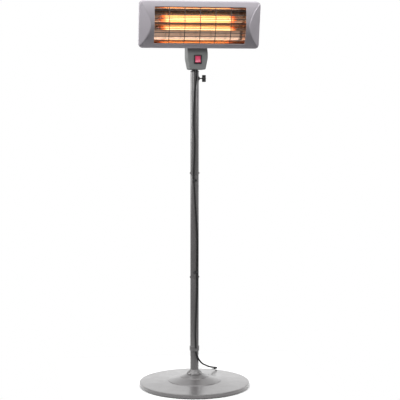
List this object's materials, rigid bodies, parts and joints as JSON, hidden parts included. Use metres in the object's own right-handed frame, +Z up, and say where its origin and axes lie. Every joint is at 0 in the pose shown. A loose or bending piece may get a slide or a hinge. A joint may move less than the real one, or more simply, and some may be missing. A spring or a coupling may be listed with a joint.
{
  "type": "patio heater",
  "caption": "Free-standing quartz patio heater: wide tilting head with a wire guard on a telescoping steel post with a clamp knob, a rocker switch box and a weighted round base.",
  "frame": {"origin": "centre of the round base on the ground, with the feet at z = 0", "axes": "+Z up along the post; the heater faces -Y; +X is on the side of the clamp knob"},
  "size_m": [0.532, 0.8013, 1.7278],
  "materials": {
    "grey_paint": "satin warm-grey powder coat on the base, the post, the socket and the band round the post",
    "silver_paint": "silver-mauve metallic paint on the pressed head shells",
    "dark_metal": "dark steel of the inner mast, brackets, sleeves and the base pan",
    "zinc_steel": "bright zinc-plated steel of screws, bolts and guard wires",
    "mirror_aluminium": "polished reflector sheet",
    "grey_plastic": "fine-textured mid-grey moulded plastic of the control box",
    "black_plastic": "black moulded nylon",
    "red_plastic": "translucent red, lit rocker",
    "white_ceramic": "unglazed white ceramic",
    "quartz": "clear quartz tube round a glowing element",
    "element": "resistance wire glowing orange-yellow",
    "black_rubber": "black rubber of the cord, the plug and the feet",
    "cement": "cast cement weight inside the base",
    "brass": "brass terminals"
  },
  "bodies": {
    "stand": {"base_cover": "grey_paint", "base_weight": "cement", "base_pan": "dark_metal", "foot_front_right": "black_rubber", "foot_rear_right": "black_rubber", "foot_rear_left": "black_rubber", "foot_front_left": "black_rubber", "base_bolt": "zinc_steel", "post_socket": "grey_paint", "lower_tube": "grey_paint", "middle_tube": "grey_paint", "upper_tube": "grey_paint", "foot_sleeve": "dark_metal", "lower_sleeve": "dark_metal", "upper_sleeve": "dark_metal", "seam_screw_1_left": "zinc_steel", "seam_screw_1_right": "zinc_steel", "seam_screw_2_left": "zinc_steel", "seam_screw_2_right": "zinc_steel", "seam_screw_3_left": "zinc_steel", "seam_screw_3_right": "zinc_steel", "top_bush": "black_plastic", "clamp_boss": "grey_paint", "cord_clip_1": "black_plastic", "cord_clip_2": "black_plastic", "cord_clip_3": "grey_paint", "cord_lower": "black_rubber", "cord_hank": "black_rubber", "mains_plug": "black_rubber"},
    "mast": {"mast_tube": "dark_metal", "mast_slider": "black_plastic", "box_front": "grey_plastic", "box_rear": "grey_plastic", "box_screw_1": "zinc_steel", "box_screw_2": "zinc_steel", "switch_frame": "black_plastic", "terminal_block": "brass", "tip_switch": "black_plastic", "cord_gland": "black_plastic", "tilt_bracket": "dark_metal", "pivot_bolt": "zinc_steel", "cord_upper": "black_rubber"},
    "head": {"bezel": "silver_paint", "head_housing": "silver_paint", "reflector": "mirror_aluminium", "wire_guard": "zinc_steel", "quartz_tube_upper": "quartz", "quartz_tube_lower": "quartz", "heating_coil_upper": "element", "heating_coil_lower": "element", "end_cap_upper_left": "white_ceramic", "end_cap_upper_right": "white_ceramic", "end_cap_lower_left": "white_ceramic", "end_cap_lower_right": "white_ceramic", "tilt_lug": "dark_metal"},
    "rocker": {"rocker": "red_plastic"},
    "clamp_screw": {"clamp_screw": "zinc_steel"},
    "clamp_knob": {"clamp_knob": "black_plastic"}
  },
  "joints": [
    {"name": "mast_height", "type": "slide", "parent": "stand", "child": "mast", "axis": [0, 0, 1], "range_m": [0, 0.3], "deforming": ["cord_upper"]},
    {"name": "head_tilt", "type": "hinge", "parent": "mast", "child": "head", "pos_m": [0, -0.022, 1.59], "axis": [1, 0, 0], "range_deg": [-20, 12]},
    {"name": "switch_rock", "type": "hinge", "parent": "mast", "child": "rocker", "pos_m": [0, -0.086, 1.478], "axis": [1, 0, 0], "range_deg": [0, 18]},
    {"name": "clamp_travel", "type": "slide", "parent": "stand", "child": "clamp_screw", "axis": [1, 0, 0], "range_m": [0, 0.0031]},
    {"name": "knob_turn", "type": "hinge", "parent": "clamp_screw", "child": "clamp_knob", "pos_m": [0.041, 0, 1.396], "axis": [1, 0, 0], "range_deg": [0, 1080]}
  ],
  "couplings": [
    {"joint": "clamp_travel", "follows": "knob_turn", "m_per_rad": 0.00015915}
  ]
}
